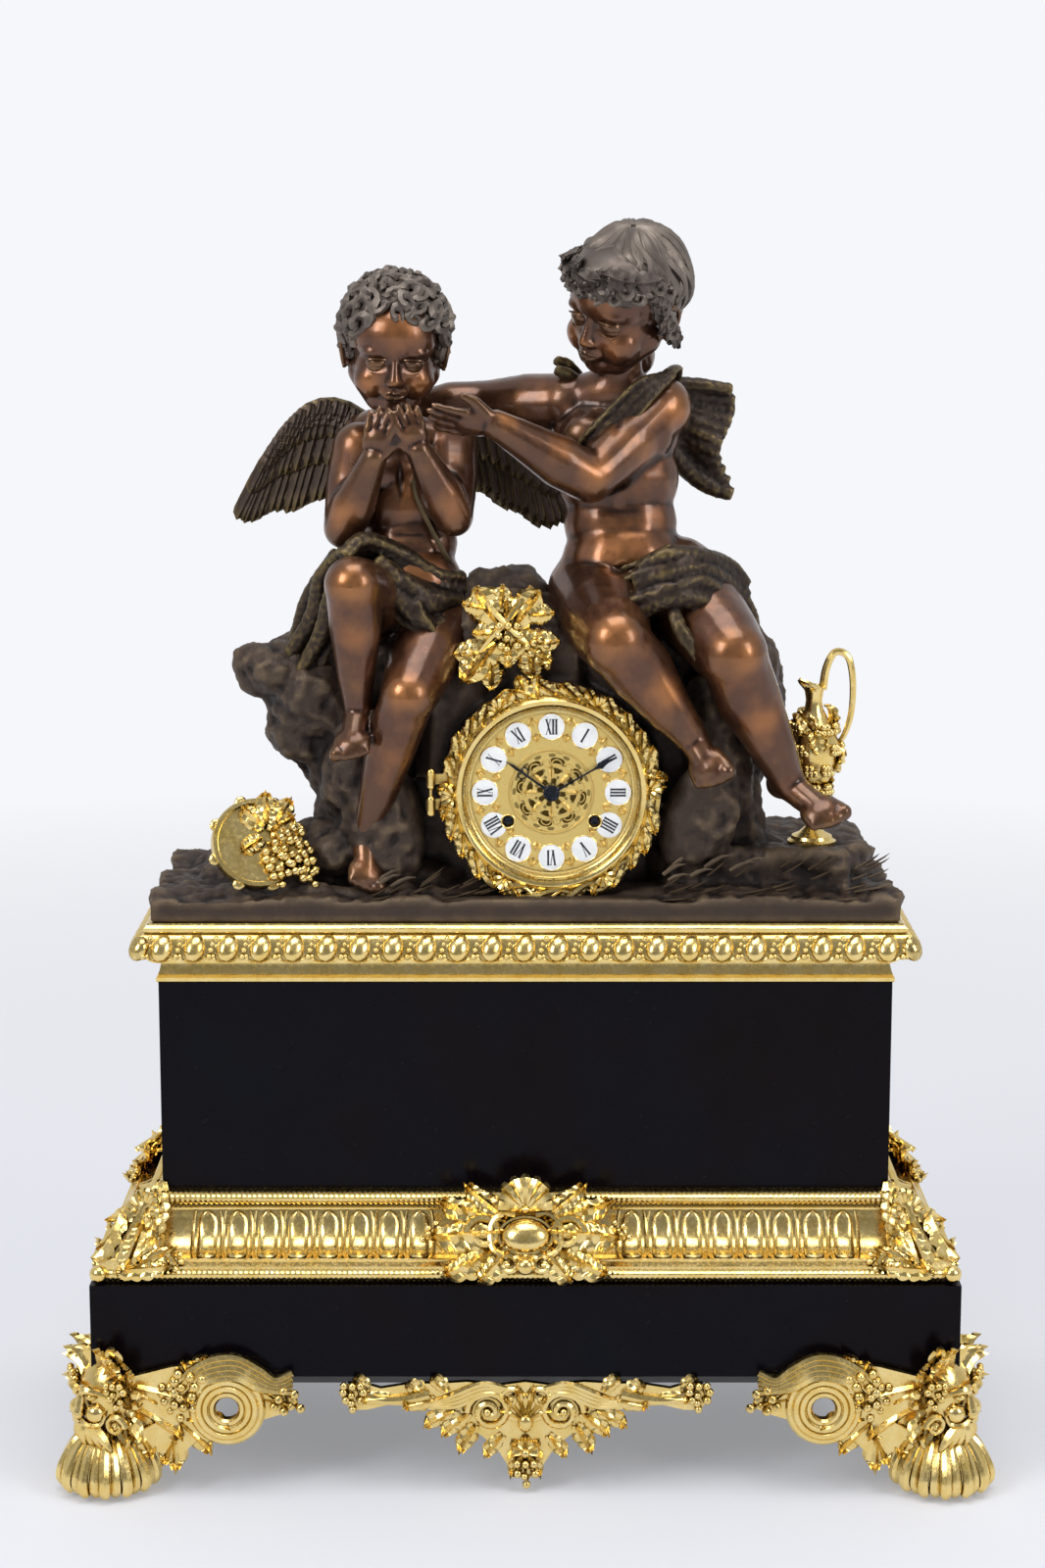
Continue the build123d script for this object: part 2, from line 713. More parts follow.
for side in ("left", "right"):
    limb_station_shares |= {
        (f"{side}_shoulder", f"{side}_elbow"): [(-0.12, 0.04), (0.1, 0.066), (0.5, 0.065), (1.08, 0.036)],
        (f"{side}_elbow", f"{side}_wrist"): [(-0.1, 0.034), (0.2, 0.057), (0.55, 0.052), (1.0, 0.034)],
        (f"{side}_wrist", f"{side}_fingers"): [(-0.1, 0.03), (0.4, 0.047), (1.0, 0.028)],
        (f"{side}_hip", f"{side}_knee"): [
            (-0.15, 0.06), (0.1, 0.102), (0.4, 0.1), (0.95, 0.076), (1.2, 0.04),
        ],
        (f"{side}_knee", f"{side}_ankle"): [(-0.12, 0.045), (0.2, 0.074), (0.75, 0.046), (1.1, 0.034)],
        (f"{side}_ankle", f"{side}_toes"): [(-0.35, 0.03), (0.3, 0.044), (1.1, 0.03)],
    }
torso_flatness = 0.74
winged_girth_share = 1.06
sash_girth_share = 1.18


def joint(seat, joint_shares, name):
    """Where a named joint of a figure lies."""
    return seat + Vector(*joint_shares[name]) * putto_size


def limb(seat, joint_shares, start, end, swell, first=None, last=None):
    """One limb of a figure, or a drape round it where it swells, from its first to its last station."""
    stations = limb_station_shares[(start, end)][first:last]
    is_torso = start == "pelvis"
    return faceted_form(
        joint(seat, joint_shares, start),
        joint(seat, joint_shares, end),
        [(way_share, radius_share * putto_size * swell) for way_share, radius_share in stations],
        flatness=torso_flatness if is_torso else 0.95,
        sides=8 if is_torso else 6,
        across=Vector(1, 0, 0) if is_torso else None,
    )


def figure(seat, joint_shares, girth):
    """The nude body of a putto, head apart, seated on the rock."""
    with BuildPart() as body:
        add([limb(seat, joint_shares, start, end, girth) for start, end in limb_station_shares])
        add(rock_base.part, mode=Mode.SUBTRACT)
    return body.part


# Winged putto on the left, elbows in and cupped hands raised
with BuildPart() as winged_putto_body:
    add(figure(winged_seat, winged_joint_shares, winged_girth_share))
winged_putto_body.part.label = "winged_putto_body"

# Sash putto on the right, one arm behind the other's neck and one hand under the cupped hands
with BuildPart() as sash_putto_body:
    add(figure(sash_seat, sash_joint_shares, sash_girth_share))
    add(winged_putto_body.part, mode=Mode.SUBTRACT)
sash_putto_body.part.label = "sash_putto_body"

# Heads: a rounded skull under a fuller cap of hair, with ears and a small nose
head_shares = [(0.0, 0.42), (0.1, 0.7), (0.3, 0.94), (0.55, 1.0), (0.8, 0.84), (1.0, 0.34)]


def head(neck, crown, width, hair_swell, facing):
    """A putto's head from under the chin to the crown, turned to face a direction."""
    rise = crown - neck
    across = facing.cross(rise).normalized()
    with BuildPart() as form:
        skull = faceted_form(
            neck, crown, [(share, radius * width / 2) for share, radius in head_shares],
            flatness=1.12, sides=8, across=across,
        )
        cap_start = neck + rise * 0.3 - facing * width * 0.1
        cap_end = neck + rise * 1.05 - facing * width * 0.1
        hair = faceted_form(
            cap_start, cap_end, [(share, radius * width / 2 * hair_swell) for share, radius in head_shares],
            flatness=1.1, sides=8, across=across,
        )
        nose = faceted_form(
            neck + rise * 0.5 + facing * width * 0.44, neck + rise * 0.34 + facing * width * 0.5,
            [(0, width * 0.04), (1, width * 0.08)], sides=5, across=across,
        )
        ears = [
            faceted_form(
                neck + rise * 0.3 + across * side * width * 0.47 - facing * width * 0.04,
                neck + rise * 0.52 + across * side * width * 0.5 - facing * width * 0.06,
                [(0, width * 0.05), (1, width * 0.1)], flatness=0.5, sides=6, across=facing,
            )
            for side in (-1, 1)
        ]
        add([skull, hair, nose, *ears])
    return form.part


winged_head_height = 80.0
winged_head_width = 60.0
sash_head_height = 87.0
sash_head_width = 70.0
hair_swell_share = 1.06
with BuildPart() as winged_putto_head:
    neck = joint(winged_seat, winged_joint_shares, "skull") + Vector(0, -0.03, -0.05) * putto_size
    crown = neck + Vector(-0.01, 0.12, 1).normalized() * winged_head_height
    add(head(neck, crown, winged_head_width, hair_swell_share, Vector(0, -1, -0.12).normalized()))
    add(winged_putto_body.part, mode=Mode.SUBTRACT)
    add(sash_putto_body.part, mode=Mode.SUBTRACT)
winged_putto_head.part.label = "winged_putto_head"
with BuildPart() as sash_putto_head:
    neck = joint(sash_seat, sash_joint_shares, "skull") + Vector(-0.08, -0.06, -0.09) * putto_size
    crown = neck + Vector(0.22, 0.1, 1).normalized() * sash_head_height
    add(head(neck, crown, sash_head_width, hair_swell_share, Vector(-0.6, -0.75, -0.15).normalized()))
    add(sash_putto_body.part, mode=Mode.SUBTRACT)
    add(winged_putto_body.part, mode=Mode.SUBTRACT)
    add(winged_putto_head.part, mode=Mode.SUBTRACT)
sash_putto_head.part.label = "sash_putto_head"

# Wings: two layers of stepped feathers on a plate swept back from the shoulder blades
wing_span = 58.0
wing_thickness = 5.0
wing_root_x = 45.0
wing_root_y = 24.0
wing_sweep = 16.0
wing_outline_shares = [
    (-0.75, 0.2), (-0.3, 0.38), (0.0, 0.49), (0.15, 0.47), (0.4, 0.27), (0.56, 0.02), (0.67, -0.25),
    (0.88, -0.58), (1.0, -0.82), (0.83, -0.84), (0.69, -0.78), (0.52, -0.72), (0.36, -0.74),
    (0.28, -0.62), (0.12, -0.62),
    (0.07, -0.52), (-0.3, -0.42), (-0.7, -0.3),
]
covert_outline_shares = [
    (-0.65, 0.18), (0.0, 0.45), (0.15, 0.43), (0.38, 0.24), (0.52, 0.0), (0.6, -0.2), (0.42, -0.22),
    (0.34, -0.36), (0.16, -0.34), (0.02, -0.3), (-0.45, -0.2),
]


def wing(side):
    """One wing, spread to the left for side -1 or to the right for 1."""
    root = joint(winged_seat, winged_joint_shares, "chest") + Vector(side * wing_root_x, wing_root_y, 0)
    root += Vector(0, 0, wing_span * 0.3)
    spread = Vector(side * cos(radians(wing_sweep)), sin(radians(wing_sweep)), 0)
    face = Plane(origin=root, x_dir=spread, z_dir=spread.cross(Vector(0, 0, 1)))
    with BuildPart() as form:
        for outline, thickness_share in ((wing_outline_shares, 1), (covert_outline_shares, 1.7)):
            with BuildSketch(face):
                Polygon(*[(x * wing_span, y * wing_span) for x, y in outline], align=None)
            extrude(amount=thickness_share * wing_thickness / 2, both=True)
        for body in (winged_putto_body, sash_putto_body, winged_putto_head, rock_base):
            add(body.part, mode=Mode.SUBTRACT)
    return largest(form.part)


with BuildPart() as wing_left:
    add(wing(-1))
with BuildPart() as wing_right:
    add(wing(1))
wing_left.part.label = "wing_left"
wing_right.part.label = "wing_right"


# Drapery: cloth folded like a fan, widening from its start to its end
fold_count = 3
fold_depth_share = 0.13
fold_thickness_share = 0.09


def folded_cloth(start, end, start_width, end_width, across):
    """A hanging or flying cloth with zigzag folds, the same shape at both ends."""
    way = end - start
    base = Plane(origin=start, x_dir=across, z_dir=way)
    steps = 2 * fold_count
    ridge = [(step / steps - 0.5, fold_depth_share * (-1) ** step / 2) for step in range(steps + 1)]
    outline = ridge + [(x, y + fold_thickness_share) for x, y in ridge[::-1]]
    return stacked_form(
        base,
        [
            (way.length * way_share, [(x * width, y * width) for x, y in outline])
            for way_share, width in ((0, start_width), (1, end_width))
        ],
    )


drape_swell = 1.2
winged_drape_fall_shares = ((-0.25, -0.13, 0.13), (-0.37, -0.06, -0.2))
winged_drape_widths = (34.0, 50.0)
with BuildPart() as winged_putto_drape:
    lap = joint(winged_seat, winged_joint_shares, "left_hip")
    fall_top, fall_end = [winged_seat + Vector(*shares) * putto_size for shares in winged_drape_fall_shares]
    add(
        [
            limb(winged_seat, winged_joint_shares, "left_hip", "left_knee",
                 winged_girth_share * drape_swell, 1, 4),
            limb(winged_seat, winged_joint_shares, "right_hip", "right_knee",
                 winged_girth_share * drape_swell, 0, 3),
            folded_cloth(fall_top, fall_end, *winged_drape_widths, Vector(0.3, -1, 0)),
        ]
    )
    for neighbour in (winged_putto_body, rock_base, wing_left, wing_right, sash_putto_body):
        add(neighbour.part, mode=Mode.SUBTRACT)
winged_putto_drape.part.label = "winged_putto_drape"

sash_drape_fall_shares = ((-0.0, -0.1, 0.1), (0.1, -0.16, -0.13))
sash_drape_widths = (22.0, 44.0)
with BuildPart() as sash_putto_drape:
    fall_top, fall_end = [sash_seat + Vector(*shares) * putto_size for shares in sash_drape_fall_shares]
    add(
        [
            limb(sash_seat, sash_joint_shares, "right_hip", "right_knee",
                 sash_girth_share * drape_swell, 0, 4),
            folded_cloth(fall_top, fall_end, *sash_drape_widths, Vector(1, 0, 0)),
        ]
    )
    for neighbour in (sash_putto_body, rock_base, winged_putto_body):
        add(neighbour.part, mode=Mode.SUBTRACT)
sash_putto_drape.part.label = "sash_putto_drape"

# Sash: a band over one shoulder, cut from a swollen torso by a slanting slab, and its flying end
sash_width = 13.0
sash_swell = 1.07
sash_lean = 41.0
sash_height_share = 0.49
flying_start_shares = (0.12, 0.08, 0.48)
flying_end_shares = (0.33, 0.13, 0.47)
flying_widths = (40.0, 64.0)
with BuildPart() as sash_putto_sash:
    add(limb(sash_seat, sash_joint_shares, "pelvis", "neck", sash_girth_share * sash_swell))
    band = Plane(
        origin=sash_seat + Vector(-0.06, 0, sash_height_share) * putto_size,
        x_dir=(0, 1, 0),
        z_dir=(-sin(radians(sash_lean)), 0, cos(radians(sash_lean))),
    )
    with BuildSketch(band.offset(-sash_width / 2)):
        Rectangle(putto_size, putto_size)
    extrude(amount=sash_width, mode=Mode.INTERSECT)
    flying_start, flying_end = [
        sash_seat + Vector(*shares) * putto_size for shares in (flying_start_shares, flying_end_shares)
    ]
    add(folded_cloth(flying_start, flying_end, *flying_widths, Vector(0, 0, 1)))
    for neighbour in (sash_putto_body, sash_putto_head):
        add(neighbour.part, mode=Mode.SUBTRACT)
sash_putto_sash.part.label = "sash_putto_sash"


def grape_bunch(top, tip, radius):
    """A hanging bunch, widest near its top."""
    return faceted_form(
        top, tip, [(0, radius * 0.5), (0.3, radius), (0.7, radius * 0.7), (1, radius * 0.25)], sides=6,
    )


# Gilt vine cluster: crossed leaves and two bunches over the top of the dial
vine_size = 40.0
vine_arm_shares = [(-0.1, 0.85), (0.42, 0.6), (-0.72, -0.55), (0.55, -0.34)]
vine_y = -51.0
vine_centre = Vector(dial_x - bezel_radius * 0.38, vine_y, dial_z + bezel_radius * 1.33)
with BuildPart() as vine_cluster:
    arms = []
    for x_share, z_share in vine_arm_shares:
        tip = vine_centre + Vector(x_share, 0, z_share) * vine_size
        arms.append(
            faceted_form(
                vine_centre + Vector(-x_share, 0, -z_share) * vine_size * 0.2,
                tip,
                [(0, vine_size * 0.14), (0.5, vine_size * 0.3), (1, vine_size * 0.12)],
                flatness=0.5, sides=6, across=Vector(z_share, 0, -x_share),
            )
        )
        arms.append(
            grape_bunch(
                tip + Vector(0, -vine_size * 0.05, vine_size * 0.12),
                tip + Vector(0, -vine_size * 0.1, -vine_size * 0.25),
                vine_size * 0.16,
            )
        )
    add(arms)
    for neighbour in (rock_base, winged_putto_body, sash_putto_body, winged_putto_drape, sash_putto_drape):
        add(neighbour.part, mode=Mode.SUBTRACT)
vine_cluster.part.label = "vine_cluster"

# Gilt tambourine: a hoop with a skin leans on the rock under leaves and grapes
hoop_radius = 27.0
hoop_wall = 3.0
hoop_depth = 11.0
skin_thickness = 1.5
tambourine_x = -156.0
tambourine_y = -54.0
tambourine_lean = 24.0
hoop_sides = 12
tambourine_face = Plane(
    origin=(tambourine_x, tambourine_y, rock_bottom + slab_height + hoop_radius * 0.98),
    x_dir=(1, 0, 0),
    z_dir=(0, -cos(radians(tambourine_lean)), sin(radians(tambourine_lean))),
)
with BuildPart() as tambourine:
    with BuildSketch(tambourine_face):
        RegularPolygon(hoop_radius, hoop_sides)
        RegularPolygon(hoop_radius - hoop_wall, hoop_sides, mode=Mode.SUBTRACT)
    extrude(amount=hoop_depth / 2, both=True)
    with BuildSketch(tambourine_face.offset(-skin_thickness)):
        RegularPolygon(hoop_radius - hoop_wall / 2, hoop_sides)
    extrude(amount=skin_thickness)
    bunches = []
    for x_share, y_share, fall_share in ((0.55, -0.1, 0.75), (0.3, 0.75, 0.6)):
        root = tambourine_face.origin + Vector(x_share, 0, 0) * hoop_radius
        root += tambourine_face.y_dir * y_share * hoop_radius
        bunches.append(
            grape_bunch(root, root + Vector(0.2, -0.25, -fall_share) * hoop_radius, hoop_radius * 0.36)
        )
    add(bunches)
    for neighbour in (rock_base, winged_putto_drape):
        add(neighbour.part, mode=Mode.SUBTRACT)
tambourine.part.label = "tambourine"

# Gilt ewer: a turned body on a stem and foot, wreathed in vine, with a high loop handle
ewer_x = 165.0
ewer_y = -26.0
ewer_height = 90.0
ewer_body_radius = 15.5
ewer_lean = 5.0
ewer_handle_radius = 2.8
ewer_handle_out = 22.0
ewer_handle_rise = 29.0
ewer_profile_shares = [
    (0.0, 0.9), (0.04, 0.9), (0.12, 0.28), (0.24, 0.24), (0.4, 0.8), (0.58, 1.0), (0.76, 0.86), (0.9, 0.48),
    (1.0, 0.62),
]
ewer_foot = Plane(
    origin=(ewer_x, ewer_y, rock_bottom + right_ground_height),
    x_dir=(cos(radians(ewer_lean)), 0, -sin(radians(ewer_lean))),
    z_dir=(sin(radians(ewer_lean)), 0, cos(radians(ewer_lean))),
)
ewer_side = Plane(origin=ewer_foot.origin, x_dir=ewer_foot.x_dir, z_dir=-ewer_foot.y_dir)
with BuildPart() as ewer:
    add(
        stacked_form(
            ewer_foot,
            [(height_share * ewer_height, oval(radius_share * ewer_body_radius, 1, 8))
             for height_share, radius_share in ewer_profile_shares],
        )
    )
    handle_corners = [
        (0.5 * ewer_body_radius, 0.94 * ewer_height),
        (0.6 * ewer_body_radius, 0.94 * ewer_height + 0.8 * ewer_handle_rise),
        (ewer_handle_out * 0.75, 0.94 * ewer_height + ewer_handle_rise),
        (ewer_handle_out, 0.94 * ewer_height + 0.7 * ewer_handle_rise),
        (ewer_handle_out, 0.72 * ewer_height),
        (0.8 * ewer_body_radius, 0.6 * ewer_height),
    ]
    handle = []
    for first, second in zip(handle_corners, handle_corners[1:]):
        start = ewer_side.from_local_coords(Vector(*first, 0))
        end = ewer_side.from_local_coords(Vector(*second, 0))
        reach_share = ewer_handle_radius / (end - start).length
        handle.append(
            faceted_form(
                start, end,
                [(-0.7 * reach_share, ewer_handle_radius), (1 + 0.7 * reach_share, ewer_handle_radius)],
                flatness=1.0, sides=6, across=ewer_side.z_dir,
            )
        )
    add(handle)
    add(rock_base.part, mode=Mode.SUBTRACT)
    add(sash_putto_body.part, mode=Mode.SUBTRACT)
ewer.part.label = "ewer"

# Clock: everything is drawn in front of planes parallel to the dial, set back from its front


def clock_plane(set_back, x=0.0, z=0.0):
    """A plane facing the viewer, set back from the dial's front, centred off the dial's middle."""
    return Plane(origin=(dial_x + x, dial_y + set_back, dial_z + z), x_dir=(1, 0, 0), z_dir=(0, -1, 0))


# Dial train set out from the dial's front: hands in front, motion work behind, then the plates
hand_gap = 1.0
hand_boss = 0.8
hand_thickness = 1.0
hour_hand_length = 32.0
minute_hand_length = 43.0
hour_hand_angle = 305.0
minute_hand_angle = 60.0
hand_hub_radius = 4.6
arbor_radius = 1.3
cannon_radius = 2.0
pipe_radius = 2.8
front_plate_set_back = 9.0
hour_wheel_teeth = 32
minute_pinion_teeth = 8
minute_wheel_teeth = 24
cannon_teeth = 8
motion_distance = 12.5
wheel_thickness = 1.5
pinion_overhang = 0.6
hour_wheel_set_back = 3.4
minute_wheel_set_back = 6.4
hour_module = 2 * motion_distance / (hour_wheel_teeth + minute_pinion_teeth)
minute_module = 2 * motion_distance / (minute_wheel_teeth + cannon_teeth)
back_plate_set_back = front_plate_set_back + plate_thickness + plate_spacing
movement_back = back_plate_set_back + plate_thickness

# Dial: an engraved gilt disc on four feet, with its centre and winding holes
winding_hole_radius = 3.5
dial_foot_radius = 1.5
dial_foot_share = 0.62
with BuildPart() as dial_plate:
    with BuildSketch(clock_plane(dial_thickness)):
        RegularPolygon(dial_radius, 24)
        RegularPolygon(pipe_radius + running_gap, 10, major_radius=False, mode=Mode.SUBTRACT)
        with Locations((-winding_x, -winding_drop), (winding_x, -winding_drop)):
            Circle(winding_hole_radius, mode=Mode.SUBTRACT)
    extrude(amount=dial_thickness)
    with BuildSketch(clock_plane(dial_thickness)):
        with GridLocations(dial_radius * dial_foot_share, 2 * dial_radius * dial_foot_share, 2, 2):
            RegularPolygon(dial_foot_radius, 6)
    extrude(amount=-(front_plate_set_back - dial_thickness))
dial_plate.part.label = "dial_plate"

cartouche_ring_radius = 38.4
cartouche_radius = 7.9
cartouche_thickness = 1.0
with BuildPart() as numeral_cartouches:
    with BuildSketch(clock_plane(0)):
        with PolarLocations(cartouche_ring_radius, 12):
            RegularPolygon(cartouche_radius, 8)
        with Locations((-winding_x, -winding_drop), (winding_x, -winding_drop)):
            RegularPolygon(winding_hole_radius + running_gap, 8, major_radius=False, mode=Mode.SUBTRACT)
    extrude(amount=cartouche_thickness)
numeral_cartouches.part.label = "numeral_cartouches"


def hand(length, angle, set_forward, bore, tail_share=0.0):
    """A pierced-style hand: a hub, a slim shaft and a leaf near its tip, at a clock angle."""
    hub = hand_hub_radius
    outline = [
        (-hub * 0.14, 0), (-hub * 0.14, length * 0.5), (-hub * 0.5, length * 0.67),
        (-hub * 0.14, length * 0.8), (0, length), (hub * 0.14, length * 0.8),
        (hub * 0.5, length * 0.67), (hub * 0.14, length * 0.5), (hub * 0.14, 0),
    ]
    face = clock_plane(-set_forward)
    with BuildPart() as form:
        with BuildSketch(face):
            with Locations(Location((0, 0, 0), (0, 0, -angle))):
                Polygon(*outline, align=None)
            RegularPolygon(hub, 12)
            RegularPolygon(bore, 10, mode=Mode.SUBTRACT)
        extrude(amount=hand_thickness)
    return form.part


hour_hand_front = cartouche_thickness + hand_gap
minute_hand_front = hour_hand_front + hand_thickness + hand_gap
with BuildPart() as hour_hand:
    add(hand(hour_hand_length, hour_hand_angle, hour_hand_front, pipe_radius))
hour_hand.part.label = "hour_hand"
with BuildPart() as minute_hand:
    add(hand(minute_hand_length, minute_hand_angle, minute_hand_front, cannon_radius))
    with BuildSketch(clock_plane(-minute_hand_front - hand_thickness)):
        RegularPolygon(hand_hub_radius, 12)
    extrude(amount=hand_boss)
minute_hand.part.label = "minute_hand"

# Motion work: the cannon pinion turns the minute wheel, whose pinion turns the hour wheel
with BuildPart() as hour_wheel:
    with BuildSketch(clock_plane(hour_wheel_set_back + wheel_thickness)):
        Polygon(*gear(hour_wheel_teeth, hour_module), align=None)
        RegularPolygon(cannon_radius + running_gap, 10, mode=Mode.SUBTRACT)
    extrude(amount=wheel_thickness)
    with BuildSketch(clock_plane(hour_wheel_set_back)):
        RegularPolygon(pipe_radius, 10)
        RegularPolygon(cannon_radius + running_gap, 10, mode=Mode.SUBTRACT)
    extrude(amount=hour_wheel_set_back + hour_hand_front + hand_thickness)
hour_wheel.part.label = "hour_wheel"

minute_angle = 90.0
minute_wheel_x = motion_distance * cos(radians(minute_angle))
minute_wheel_z = motion_distance * sin(radians(minute_angle))
stud_radius = 1.0
stud_gap = 0.1
with BuildPart() as minute_wheel:
    with BuildSketch(clock_plane(minute_wheel_set_back + wheel_thickness, minute_wheel_x, minute_wheel_z)):
        with Locations(Location((0, 0, 0), (0, 0, 180 / minute_wheel_teeth - minute_angle))):
            Polygon(*gear(minute_wheel_teeth, minute_module), align=None)
        RegularPolygon(stud_radius + stud_gap, 6, major_radius=False, mode=Mode.SUBTRACT)
    extrude(amount=wheel_thickness)
    with BuildSketch(clock_plane(minute_wheel_set_back, minute_wheel_x, minute_wheel_z)):
        with Locations(Location((0, 0, 0), (0, 0, 180 / minute_pinion_teeth - minute_angle))):
            Polygon(*gear(minute_pinion_teeth, hour_module), align=None)
        RegularPolygon(stud_radius + stud_gap, 6, major_radius=False, mode=Mode.SUBTRACT)
    extrude(amount=minute_wheel_set_back - hour_wheel_set_back + pinion_overhang)
minute_wheel.part.label = "minute_wheel"

# Plates and pillars of the round movement, with the stud of the minute wheel on the front plate
barrel_radius = 14.0
barrel_teeth_radius = 15.0
centre_wheel_radius = 13.5
third_wheel_radius = 10.5
escape_wheel_radius = 9.0
third_x = 10.3
third_z = 12.5
escape_z = 20.0
pallet_z = 34.0
pivot_radius = 0.9
pivot_gap = 0.1
square_half = 2.0
pillar_radius = 2.6
pillar_share = 0.88
pillar_angles = (45, 100, 170, 270)
hammer_x = -31.0
hammer_z = 14.0
plate_sides = 24
winding_places = [(-winding_x, -winding_drop), (winding_x, -winding_drop)]
train_pivots = [(third_x, third_z), (0, escape_z), (0, pallet_z), (hammer_x, hammer_z)]
with BuildPart() as front_plate:
    with BuildSketch(clock_plane(front_plate_set_back + plate_thickness)):
        RegularPolygon(plate_radius, plate_sides, major_radius=False)
        with Locations(*winding_places):
            RegularPolygon(winding_hole_radius, 10, mode=Mode.SUBTRACT)
        RegularPolygon(arbor_radius + pivot_gap, 8, major_radius=False, mode=Mode.SUBTRACT)
        with Locations(*train_pivots):
            RegularPolygon(pivot_radius + pivot_gap, 6, major_radius=False, mode=Mode.SUBTRACT)
    extrude(amount=plate_thickness)
    with BuildSketch(clock_plane(front_plate_set_back, minute_wheel_x, minute_wheel_z)):
        RegularPolygon(stud_radius, 6)
    extrude(amount=front_plate_set_back - hour_wheel_set_back + pinion_overhang)
front_plate.part.label = "front_plate"

# Back plate with the suspension cock and the stud of the count wheel
cock_width = 8.0
cock_height = 7.0
cock_overhang = 2.4
count_x = -21.0
count_z = -11.0
count_stud_radius = 1.2
with BuildPart() as back_plate:
    with BuildSketch(clock_plane(movement_back)):
        RegularPolygon(plate_radius, plate_sides, major_radius=False)
        with Locations(*winding_places, (0, 0), *train_pivots):
            RegularPolygon(pivot_radius + pivot_gap, 6, major_radius=False, mode=Mode.SUBTRACT)
    extrude(amount=plate_thickness)
    with BuildSketch(clock_plane(movement_back, 0, pallet_z + cock_height)):
        Rectangle(cock_width, cock_height)
    extrude(amount=-(pendulum_y - dial_y - movement_back + cock_overhang))
    with BuildSketch(clock_plane(movement_back, count_x, count_z)):
        RegularPolygon(count_stud_radius, 6)
    extrude(amount=-(2 * wheel_thickness + running_gap))
back_plate.part.label = "back_plate"

with BuildPart() as plate_pillars:
    for pillar_angle in pillar_angles:
        reach = plate_radius * pillar_share
        x = reach * cos(radians(pillar_angle))
        z = reach * sin(radians(pillar_angle))
        with BuildSketch(clock_plane(back_plate_set_back, x, z)):
            RegularPolygon(pillar_radius, 8)
        extrude(amount=plate_spacing)
plate_pillars.part.label = "plate_pillars"


def spindle(x, z, front, back, radius, front_pivot, back_pivot):
    """An arbor between two set-backs, thinned to pivots that run in the plates."""
    with BuildPart() as form:
        with BuildSketch(clock_plane(back, x, z)):
            RegularPolygon(radius, 8)
        extrude(amount=back - front)
        if front_pivot:
            with BuildSketch(clock_plane(front, x, z)):
                RegularPolygon(pivot_radius, 6)
            extrude(amount=front_pivot)
        if back_pivot:
            with BuildSketch(clock_plane(back, x, z)):
                RegularPolygon(pivot_radius, 6)
            extrude(amount=-back_pivot)
    return form.part


inner_front = front_plate_set_back + plate_thickness + running_gap
inner_back = back_plate_set_back - running_gap
pivot_length = plate_thickness + running_gap
barrel_gap = 2.0
barrel_depth = 16.0
barrel_rim = 2.4
barrel_front = inner_front + barrel_gap
barrel_back = barrel_front + barrel_depth
winding_names = ("going", "strike")
barrels = {}
winding_arbors = {}
for name, side in zip(winding_names, (1, -1)):
    x = side * winding_x
    with BuildPart() as barrel:
        with BuildSketch(clock_plane(barrel_back, x, -winding_drop)):
            RegularPolygon(barrel_radius, 12)
            RegularPolygon(square_half * 1.5 + pivot_gap, 8, major_radius=False, mode=Mode.SUBTRACT)
        extrude(amount=barrel_back - barrel_front)
        with BuildSketch(clock_plane(barrel_back, x, -winding_drop)):
            RegularPolygon(barrel_teeth_radius, 16)
            RegularPolygon(square_half * 1.5 + pivot_gap, 8, major_radius=False, mode=Mode.SUBTRACT)
        extrude(amount=barrel_rim)
    barrel.part.label = f"{name}_barrel"
    barrels[name] = barrel
    with BuildPart() as winding_arbor:
        add(spindle(x, -winding_drop, inner_front, inner_back, square_half * 1.5, 0, pivot_length))
        with BuildSketch(clock_plane(inner_front, x, -winding_drop)):
            Rectangle(2 * square_half, 2 * square_half)
        extrude(amount=inner_front - dial_thickness - running_gap)
    winding_arbor.part.label = f"{name}_winding_arbor"
    winding_arbors[name] = winding_arbor

# Centre arbor: carries the cannon pinion, the minute hand and the centre wheel
centre_wheel_gap = 24.0
centre_wheel_set_back = inner_front + centre_wheel_gap
with BuildPart() as centre_arbor:
    add(spindle(0, 0, inner_front, inner_back, arbor_radius, 0, pivot_length))
    with BuildSketch(clock_plane(centre_wheel_set_back + wheel_thickness)):
        RegularPolygon(centre_wheel_radius, 16)
    extrude(amount=wheel_thickness)
    with BuildSketch(clock_plane(inner_front)):
        RegularPolygon(arbor_radius, 8)
    extrude(amount=inner_front - minute_wheel_set_back)
    with BuildSketch(clock_plane(minute_wheel_set_back + wheel_thickness + pinion_overhang)):
        with Locations(Location((0, 0, 0), (0, 0, minute_angle))):
            Polygon(*gear(cannon_teeth, minute_module), align=None)
    extrude(amount=wheel_thickness + 2 * pinion_overhang)
    with BuildSketch(clock_plane(minute_wheel_set_back)):
        RegularPolygon(cannon_radius, 10)
    extrude(amount=minute_wheel_set_back + minute_hand_front + hand_thickness)
centre_arbor.part.label = "centre_arbor"

third_wheel_set_back = centre_wheel_set_back + 2 * wheel_thickness
escape_wheel_set_back = third_wheel_set_back + 2 * wheel_thickness
train_pinion_radius = 1.8
with BuildPart() as third_wheel:
    add(spindle(third_x, third_z, inner_front, inner_back, train_pinion_radius, pivot_length, pivot_length))
    with BuildSketch(clock_plane(third_wheel_set_back + wheel_thickness, third_x, third_z)):
        RegularPolygon(third_wheel_radius, 16)
    extrude(amount=wheel_thickness)
third_wheel.part.label = "third_wheel"

